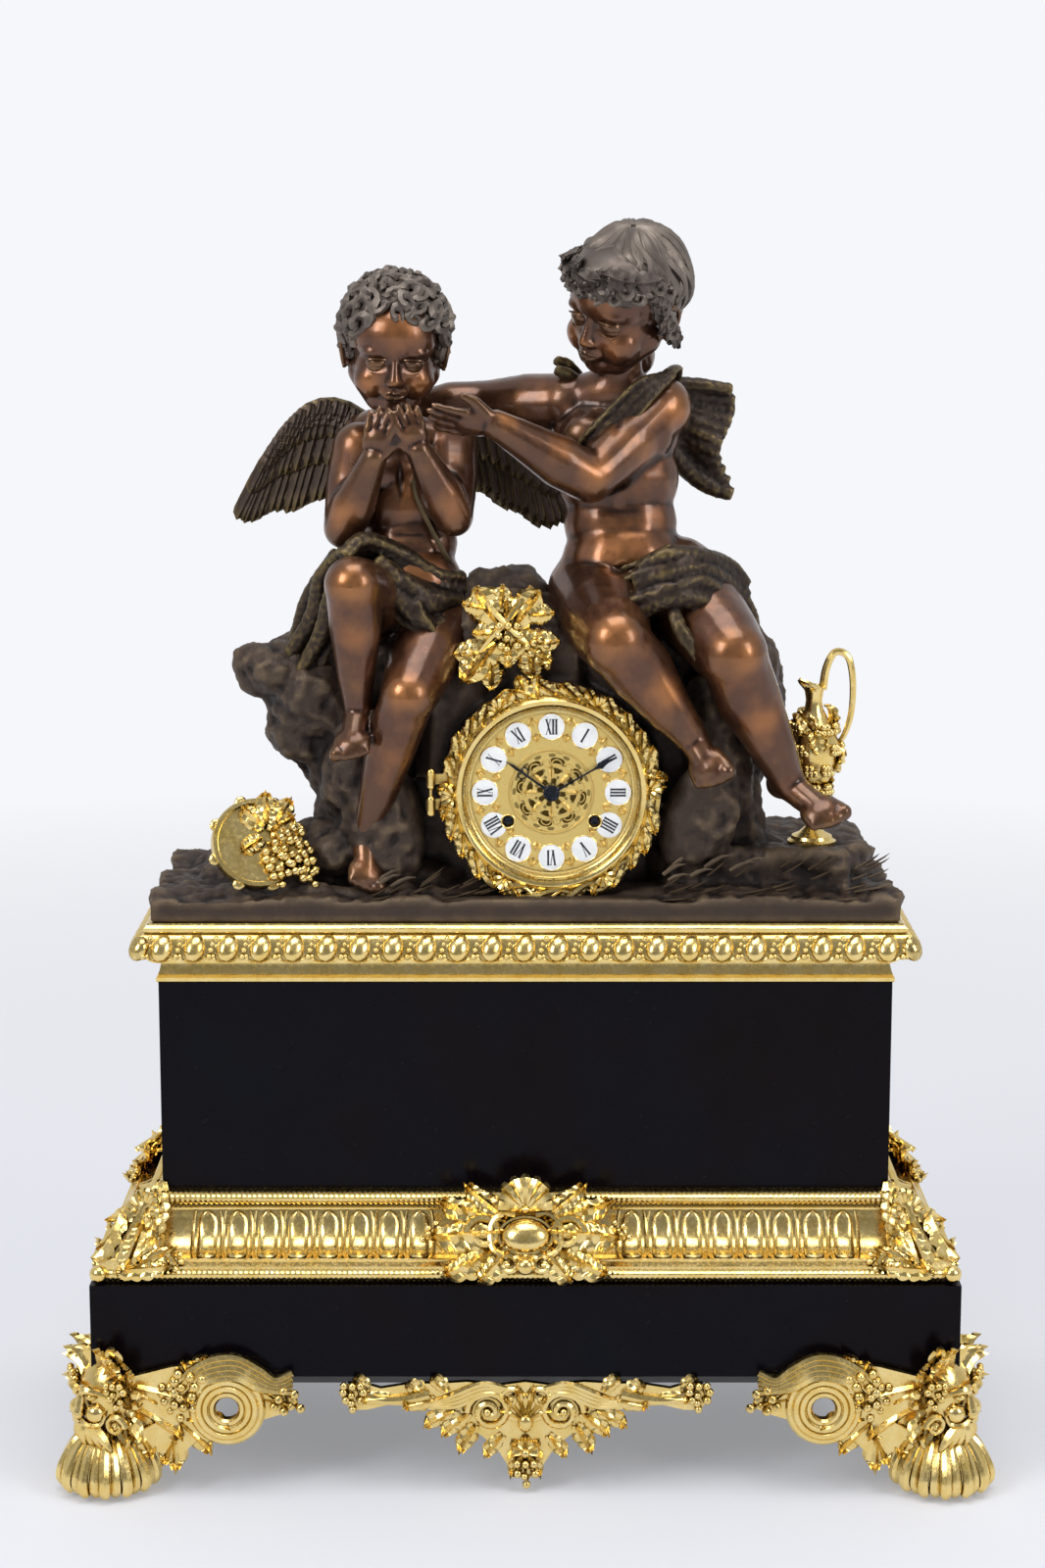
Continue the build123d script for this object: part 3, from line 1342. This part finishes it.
escape_teeth = 20
with BuildPart() as escape_wheel:
    add(spindle(0, escape_z, inner_front, inner_back, pivot_radius * 1.4, pivot_length, pivot_length))
    rim = []
    for tooth in range(escape_teeth):
        for reach_share, lead_share in ((0.84, 0.0), (1.0, 0.6)):
            angle = 2 * pi * (tooth + lead_share) / escape_teeth
            reach = escape_wheel_radius * reach_share
            rim.append((reach * cos(angle), reach * sin(angle)))
    with BuildSketch(clock_plane(escape_wheel_set_back + wheel_thickness, 0, escape_z)):
        Polygon(*rim, align=None)
    extrude(amount=wheel_thickness)
escape_wheel.part.label = "escape_wheel"

# Anchor over the escape wheel, its pallets held just clear, and the crutch behind the back plate
pallet_gap = 1.0
anchor_span = 52.0
anchor_width = 2.4
crutch_length = 26.0
crutch_gap = 0.4
pendulum_set_back = pendulum_y - dial_y
rod_half_width = 1.5
rod_thickness = 1.2
with BuildPart() as anchor:
    add(spindle(0, pallet_z, inner_front, inner_back, pivot_radius * 1.6, pivot_length, 0))
    with BuildSketch(clock_plane(inner_back, 0, pallet_z)):
        RegularPolygon(pivot_radius, 6)
    extrude(amount=-(pivot_length + 2 * wheel_thickness))
    with BuildSketch(clock_plane(escape_wheel_set_back + wheel_thickness, 0, escape_z)):
        with BuildLine():
            outer = escape_wheel_radius + pallet_gap + anchor_width
            inner = escape_wheel_radius + pallet_gap
            tips = [radians(90 - anchor_span), radians(90 + anchor_span)]
            Polyline(
                (inner * cos(tips[0]), inner * sin(tips[0])),
                (outer * cos(tips[0]), outer * sin(tips[0])),
                (anchor_width, pallet_z - escape_z + anchor_width * 0.5),
                (-anchor_width, pallet_z - escape_z + anchor_width * 0.5),
                (outer * cos(tips[1]), outer * sin(tips[1])),
                (inner * cos(tips[1]), inner * sin(tips[1])),
                (0, inner * 1.3),
                close=True,
            )
        make_face()
    extrude(amount=wheel_thickness)
    crutch_set_back = movement_back + running_gap + wheel_thickness
    with BuildSketch(clock_plane(crutch_set_back, 0, pallet_z - crutch_length / 2)):
        Rectangle(rod_half_width * 2, crutch_length + rod_half_width * 2)
    extrude(amount=wheel_thickness)
    fork_reach = pendulum_set_back - crutch_set_back + rod_thickness
    with BuildSketch(clock_plane(crutch_set_back + fork_reach, 0, pallet_z - crutch_length)):
        with GridLocations(2 * (rod_half_width + crutch_gap) + wheel_thickness, 0, 2, 1):
            Rectangle(wheel_thickness, rod_half_width * 2)
    extrude(amount=fork_reach)
    with BuildSketch(clock_plane(crutch_set_back, 0, pallet_z - crutch_length)):
        Rectangle(2 * (rod_half_width + crutch_gap + wheel_thickness), rod_half_width * 2)
    extrude(amount=wheel_thickness)
anchor.part.label = "anchor"

# Pendulum: the rod hangs from the pallets' axis line, under the cock behind the back plate
bob_radius = 16.0
bob_thickness = 7.0
pendulum_length = 82.0
hanger_gap = 0.2
with BuildPart() as pendulum:
    hang_top = pallet_z + cock_height / 2 - hanger_gap
    rod_bottom = pallet_z - pendulum_length
    with BuildSketch(clock_plane(pendulum_set_back + rod_thickness / 2, 0, (hang_top + rod_bottom) / 2)):
        Rectangle(2 * rod_half_width, hang_top - rod_bottom)
    extrude(amount=rod_thickness)
    bob_centre = Vector(dial_x, pendulum_y, dial_z + rod_bottom)
    half_bob = Vector(0, bob_thickness / 2, 0)
    add(
        faceted_form(
            bob_centre - half_bob,
            bob_centre + half_bob,
            [(0, bob_radius * 0.5), (0.3, bob_radius), (0.7, bob_radius), (1, bob_radius * 0.5)],
            flatness=1.0, sides=12, across=Vector(1, 0, 0),
        )
    )
pendulum.part.label = "pendulum"

# Strike work on the back: count wheel, bell on its stand, and the hammer
count_radius = 12.0
count_notches = 8
bell_radius = 30.0
bell_depth = 13.0
bell_wall = 1.8
bell_x = 6.0
bell_z = -2.0
bell_set_back = 76.0
stand_radius = 2.0
stand_x = 30.0
stand_z = 14.0
hammer_head_radius = 3.4
hammer_gap = 1.5
with BuildPart() as count_wheel:
    rim = []
    for notch in range(count_notches):
        start = 2 * pi * notch / count_notches
        for reach_share, lead_share in ((0.86, 0.0), (0.86, 0.25), (1.0, 0.25), (1.0, 1.0)):
            angle = start + 2 * pi * lead_share / count_notches
            rim.append((count_radius * reach_share * cos(angle), count_radius * reach_share * sin(angle)))
    with BuildSketch(clock_plane(movement_back + running_gap + wheel_thickness, count_x, count_z)):
        Polygon(*rim, align=None)
        RegularPolygon(count_stud_radius + stud_gap, 6, major_radius=False, mode=Mode.SUBTRACT)
    extrude(amount=wheel_thickness)
count_wheel.part.label = "count_wheel"

with BuildPart() as bell_stand:
    with BuildSketch(clock_plane(bell_set_back, stand_x, stand_z)):
        RegularPolygon(stand_radius, 8)
    extrude(amount=bell_set_back - movement_back)
    arm = Vector(bell_x - stand_x, 0, bell_z - stand_z)
    arm_start = Vector(dial_x + stand_x, dial_y + bell_set_back - stand_radius, dial_z + stand_z)
    add(
        faceted_form(
            arm_start, arm_start + arm, [(-0.06, stand_radius), (1.0, stand_radius)], flatness=1.0, sides=8,
            across=Vector(0, 1, 0),
        )
    )
    with BuildSketch(clock_plane(bell_set_back + bell_depth - bell_wall, bell_x, bell_z)):
        RegularPolygon(stand_radius, 8)
    extrude(amount=bell_depth - bell_wall + 2 * stand_radius)
bell_stand.part.label = "bell_stand"

with BuildPart() as bell:
    bell_back = Vector(dial_x + bell_x, dial_y + bell_set_back + bell_depth, dial_z + bell_z)
    bell_shares = [(0, 0.45), (0.2, 0.75), (0.6, 0.93), (1, 1.0)]
    for shrink, mode in ((0.0, Mode.ADD), (bell_wall, Mode.SUBTRACT)):
        inner_back_point = bell_back - Vector(0, shrink, 0)
        mouth = bell_back - Vector(0, bell_depth + (cut_overrun if shrink else 0), 0)
        add(
            faceted_form(
                inner_back_point, mouth,
                [(share, radius * bell_radius - shrink) for share, radius in bell_shares],
                flatness=1.0, sides=12, across=Vector(1, 0, 0),
            ),
            mode=mode,
        )
bell.part.label = "bell"

hammer_head_x = bell_x - bell_radius - hammer_gap - hammer_head_radius
with BuildPart() as hammer:
    add(spindle(hammer_x, hammer_z, inner_front, inner_back, pivot_radius * 1.4, pivot_length, 0))
    with BuildSketch(clock_plane(inner_back, hammer_x, hammer_z)):
        RegularPolygon(pivot_radius, 6)
    extrude(amount=-(bell_set_back + bell_depth / 2 - inner_back))
    arm_foot = Vector(dial_x + hammer_x, dial_y + bell_set_back + bell_depth * 0.3, dial_z + hammer_z)
    arm_head = Vector(dial_x + hammer_head_x, dial_y + bell_set_back + bell_depth * 0.3, dial_z + bell_z)
    add(
        [
            faceted_form(
                arm_foot, arm_head, [(-0.1, stand_radius * 0.6), (1.0, stand_radius * 0.6)], sides=6,
            ),
            faceted_form(
                arm_head - Vector(0, hammer_head_radius, 0), arm_head + Vector(0, hammer_head_radius, 0),
                [(0, hammer_head_radius), (1, hammer_head_radius)], flatness=1.0, sides=8,
            ),
        ]
    )
hammer.part.label = "hammer"

# Bezel seat: the fixed ring behind the bezel, with the two outer hinge knuckles; straps tie it to
# the movement and to the ring at the back
seat_thickness = 2.0
hinge_radius = 2.6
hinge_pin_radius = 1.2
hinge_pin_gap = 0.1
hinge_offset = 3.6
hinge_set_back = -1.5
knuckle_length = 8.0
end_knuckle_length = 6.0
knuckle_gap = 0.3
seat_set_back = boulder_front - dial_y
hinge_x = -bezel_radius - hinge_offset
end_knuckle_z = (knuckle_length + end_knuckle_length) / 2 + knuckle_gap
hinge_column = Plane(origin=(dial_x + hinge_x, dial_y + hinge_set_back, dial_z), z_dir=(0, 0, 1))
with BuildPart() as bezel_seat:
    with BuildSketch(clock_plane(seat_set_back)):
        RegularPolygon(boulder_radius - running_gap, 24)
        RegularPolygon(dial_radius + running_gap, 24, major_radius=False, mode=Mode.SUBTRACT)
    extrude(amount=seat_thickness)
    for side in (-1, 1):
        with BuildSketch(clock_plane(seat_set_back, hinge_x, side * end_knuckle_z)):
            with Locations((hinge_offset / 2 + hinge_radius, 0)):
                Rectangle(hinge_offset + 4 * hinge_radius, end_knuckle_length)
        extrude(amount=seat_thickness)
        with BuildSketch(clock_plane(seat_set_back, hinge_x, side * end_knuckle_z)):
            Rectangle(2 * hinge_radius, end_knuckle_length)
        extrude(amount=seat_set_back - hinge_set_back)
        with BuildSketch(hinge_column.offset(side * end_knuckle_z - end_knuckle_length / 2)):
            RegularPolygon(hinge_radius, 6)
        extrude(amount=end_knuckle_length)
    with BuildSketch(hinge_column.offset(-end_knuckle_z)):
        RegularPolygon(hinge_pin_radius, 6)
    extrude(amount=2 * end_knuckle_z)
bezel_seat.part.label = "bezel_seat"

# Bezel: a lobed rocaille ring that holds the glass over an inner sloping rim
glass_radius = 52.0
glass_thickness = 1.5
glass_sides = 24
rim_wall = 4.0
bezel_lobes = 12
bezel_shares = [(0, 1), (0.4, 1), (1, 0.86)]
bezel_back = seat_set_back - seat_thickness - running_gap
with BuildPart() as bezel_casting:
    add(
        stacked_form(
            clock_plane(bezel_back),
            [(bezel_depth * depth_share, lobed(bezel_radius * radius_share, bezel_lobes, 0.05, 2))
             for depth_share, radius_share in bezel_shares],
        )
    )
    with BuildSketch(clock_plane(bezel_back + cut_overrun)):
        RegularPolygon(glass_radius + hinge_pin_gap, glass_sides, major_radius=False)
    extrude(amount=bezel_depth + 2 * cut_overrun, mode=Mode.SUBTRACT)
    with BuildSketch(hinge_column.offset(-knuckle_length / 2)):
        RegularPolygon(hinge_radius, 6)
        with Locations((hinge_offset + hinge_radius / 2, -hinge_radius * 0.4)):
            Rectangle(2 * hinge_offset, hinge_radius * 1.2)
        RegularPolygon(hinge_pin_radius + hinge_pin_gap, 6, major_radius=False, mode=Mode.SUBTRACT)
    extrude(amount=knuckle_length)
bezel_casting.part.label = "bezel_casting"

glass_set_back = bezel_back - bezel_depth * 0.8
rim_set_back = -running_gap
with BuildPart() as bezel_glass:
    with BuildSketch(clock_plane(glass_set_back)):
        RegularPolygon(glass_radius, glass_sides, major_radius=False)
    extrude(amount=glass_thickness)
bezel_glass.part.label = "bezel_glass"

with BuildPart() as bezel_rim:
    with BuildSketch(clock_plane(rim_set_back)):
        RegularPolygon(glass_radius, glass_sides, major_radius=False)
    extrude(amount=rim_set_back - glass_set_back)
    add(
        stacked_form(
            clock_plane(rim_set_back),
            [(0, oval(dial_radius - rim_wall / 2, 1, glass_sides)),
             (rim_set_back - glass_set_back, oval(glass_radius - rim_wall / 4, 1, glass_sides))],
        ),
        mode=Mode.SUBTRACT,
    )
bezel_rim.part.label = "bezel_rim"

# Case straps from the seat ring to the back ring, on a flat of the plates' rims
strap_width = 8.0
strap_thickness = 1.6
strap_sides = (1, 13)
strap_foot = drum_radius - plate_radius - running_gap
back_set_back = boulder_back - dial_y
with BuildPart() as case_straps:
    for plate_side in strap_sides:
        turned = Location((0, 0, 0), (0, 0, 360 * (plate_side + 0.5) / plate_sides))
        with BuildSketch(clock_plane(back_set_back)):
            with Locations(turned):
                with Locations((plate_radius + strap_thickness / 2, 0)):
                    Rectangle(strap_thickness, strap_width)
        extrude(amount=back_set_back - seat_set_back)
        with BuildSketch(clock_plane(seat_set_back + strap_thickness)):
            with Locations(turned):
                with Locations((plate_radius + strap_foot / 2, 0)):
                    Rectangle(strap_foot, strap_width)
        extrude(amount=strap_thickness)
case_straps.part.label = "case_straps"

# Back door: a round brass cover on a ring behind the rock, hinged at its right
back_ring_wall = 6.0
door_radius = drum_radius + 1.0
door_thickness = 1.5
door_hinge_x = drum_radius + back_ring_wall + hinge_radius * 1.1
door_hinge_set_back = back_set_back + seat_thickness + door_thickness
door_column = Plane(origin=(dial_x + door_hinge_x, dial_y + door_hinge_set_back, dial_z), z_dir=(0, 0, 1))
with BuildPart() as back_ring:
    with BuildSketch(clock_plane(back_set_back + seat_thickness)):
        RegularPolygon(drum_radius + back_ring_wall, 24)
        RegularPolygon(drum_radius - back_ring_wall, 24, major_radius=False, mode=Mode.SUBTRACT)
    extrude(amount=seat_thickness)
    for side in (-1, 1):
        bracket_x = door_hinge_x - hinge_radius
        with BuildSketch(clock_plane(back_set_back + seat_thickness, bracket_x, side * end_knuckle_z)):
            Rectangle(4 * hinge_radius, end_knuckle_length)
        extrude(amount=seat_thickness)
        with BuildSketch(clock_plane(door_hinge_set_back, door_hinge_x, side * end_knuckle_z)):
            Rectangle(2 * hinge_radius, end_knuckle_length)
        extrude(amount=door_hinge_set_back - back_set_back)
        with BuildSketch(door_column.offset(side * end_knuckle_z - end_knuckle_length / 2)):
            RegularPolygon(hinge_radius, 6)
        extrude(amount=end_knuckle_length)
    with BuildSketch(door_column.offset(-end_knuckle_z)):
        RegularPolygon(hinge_pin_radius, 6)
    extrude(amount=2 * end_knuckle_z)
back_ring.part.label = "back_ring"

with BuildPart() as back_door:
    with BuildSketch(clock_plane(back_set_back + seat_thickness + running_gap + door_thickness)):
        RegularPolygon(door_radius, 18)
    extrude(amount=door_thickness)
    with BuildSketch(door_column.offset(-knuckle_length / 2)):
        RegularPolygon(hinge_radius, 6)
        with Locations((-hinge_radius - back_ring_wall / 2, -running_gap)):
            Rectangle(2 * hinge_radius + back_ring_wall, door_thickness)
        RegularPolygon(hinge_pin_radius + hinge_pin_gap, 6, major_radius=False, mode=Mode.SUBTRACT)
    extrude(amount=knuckle_length)
back_door.part.label = "back_door"

# Tie bolts: two rods clamp plinth, block and rock together
with BuildPart() as tie_bolts:
    with BuildSketch(Plane.XY.offset(foot_clearance + nut_recess - nut_height)):
        with GridLocations(bolt_spacing, 0, 2, 1):
            RegularPolygon(bolt_radius, 8)
    bolt_top = rock_bottom + slab_height * bolt_depth_share - running_gap
    extrude(amount=bolt_top - foot_clearance - nut_recess + nut_height)
    with BuildSketch(Plane.XY.offset(foot_clearance + nut_recess - nut_height)):
        with GridLocations(bolt_spacing, 0, 2, 1):
            RegularPolygon(nut_radius, 6)
    extrude(amount=nut_height)
tie_bolts.part.label = "tie_bolts"

finished = [
    lower_plinth, upper_block, frieze_front, frieze_back, frieze_left, frieze_right, frieze_corner_leaves,
    frieze_cartouche, top_moulding_front, top_moulding_back, top_moulding_left, top_moulding_right,
    foot_front_left, foot_front_right, foot_back_left, foot_back_right, front_apron, tie_bolts, rock_base,
    winged_putto_body, winged_putto_head, wing_left, wing_right, winged_putto_drape, sash_putto_body,
    sash_putto_head, sash_putto_drape, sash_putto_sash, vine_cluster, tambourine, ewer,
    dial_plate, numeral_cartouches, hour_hand, minute_hand, hour_wheel, minute_wheel, front_plate,
    back_plate,
    plate_pillars, *barrels.values(), *winding_arbors.values(), centre_arbor, third_wheel, escape_wheel,
    anchor, pendulum, count_wheel, bell_stand, bell, hammer, bezel_seat,
    bezel_casting, bezel_glass, bezel_rim, case_straps, back_ring, back_door,
]
for piece in finished:
    export_step(piece.part, f"parts/{piece.part.label}.step")
    box = piece.part.bounding_box()
    print(piece.part.label, len(piece.part.solids()), round(piece.part.volume), box.min, box.max)
